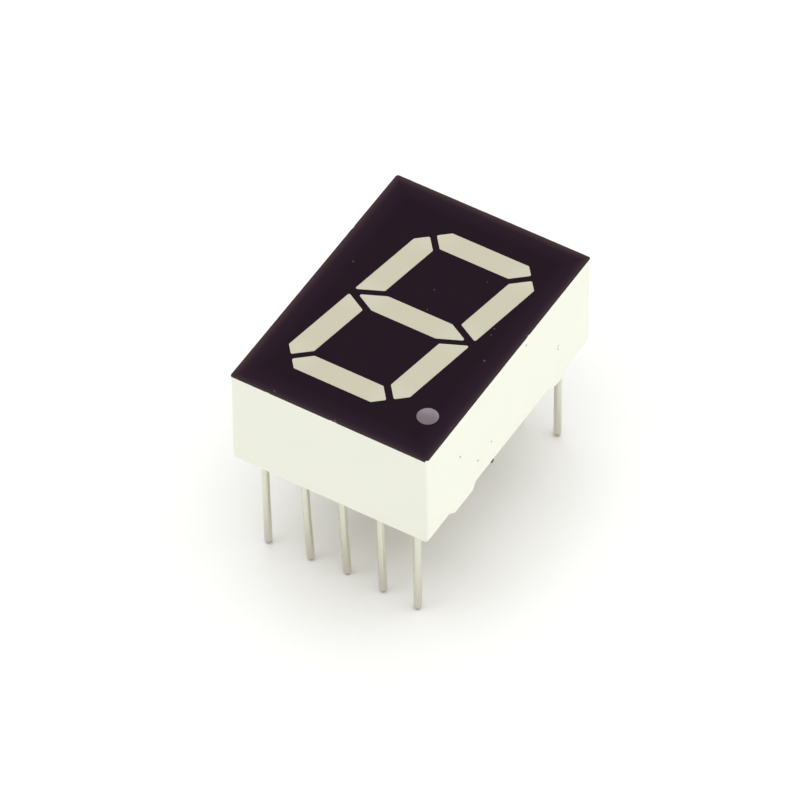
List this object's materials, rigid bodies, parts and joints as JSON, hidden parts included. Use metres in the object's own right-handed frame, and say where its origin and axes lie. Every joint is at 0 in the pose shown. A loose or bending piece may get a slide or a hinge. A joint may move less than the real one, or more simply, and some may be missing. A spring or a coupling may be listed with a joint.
{
  "type": "seven segment display",
  "caption": "Slanted numeric LED digit with a decimal point: white moulded housing, black face, milky light bars and two rows of round wire pins.",
  "frame": {"origin": "centre of the pin grid, on the plane of the housing's lower rim", "axes": "+X to the right across the digit, +Y up the digit, +Z out of the display face; the pins point along -Z"},
  "size_m": [0.0126, 0.018, 0.0145],
  "materials": {
    "white_moulding": "moulded, satin, ivory white",
    "black_coat": "printed, satin black with a faint purple cast",
    "laminate": "resin-bonded paper laminate, pale tan",
    "copper": "etched copper, dull",
    "back_resin": "cast milky resin, glossy",
    "segment_resin": "cast milky resin, satin",
    "point_resin": "cast resin, clearer than the bars, greyish",
    "led_chip": "sawn semiconductor, shiny",
    "bond_wire": "drawn gold wire, bright",
    "tinned_wire": "tin plated, satin",
    "solder": "solidified solder, shiny"
  },
  "bodies": {
    "root": {"housing": "white_moulding", "face_coat": "black_coat", "circuit_board": "laminate", "copper_tracks": "copper", "back_resin": "back_resin", "segment_a": "segment_resin", "segment_b": "segment_resin", "segment_c": "segment_resin", "segment_d": "segment_resin", "segment_e": "segment_resin", "segment_f": "segment_resin", "segment_g": "segment_resin", "segment_point": "point_resin", "led_a": "led_chip", "led_b": "led_chip", "led_c": "led_chip", "led_d": "led_chip", "led_e": "led_chip", "led_f": "led_chip", "led_g": "led_chip", "led_point": "led_chip", "wire_a": "bond_wire", "wire_b": "bond_wire", "wire_c": "bond_wire", "wire_d": "bond_wire", "wire_e": "bond_wire", "wire_f": "bond_wire", "wire_g": "bond_wire", "wire_point": "bond_wire", "pin_1": "tinned_wire", "pin_2": "tinned_wire", "pin_3": "tinned_wire", "pin_4": "tinned_wire", "pin_5": "tinned_wire", "pin_6": "tinned_wire", "pin_7": "tinned_wire", "pin_8": "tinned_wire", "pin_9": "tinned_wire", "pin_10": "tinned_wire", "solder_1": "solder", "solder_2": "solder", "solder_3": "solder", "solder_4": "solder", "solder_5": "solder", "solder_6": "solder", "solder_7": "solder", "solder_8": "solder", "solder_9": "solder", "solder_10": "solder"}
  },
  "joints": []
}
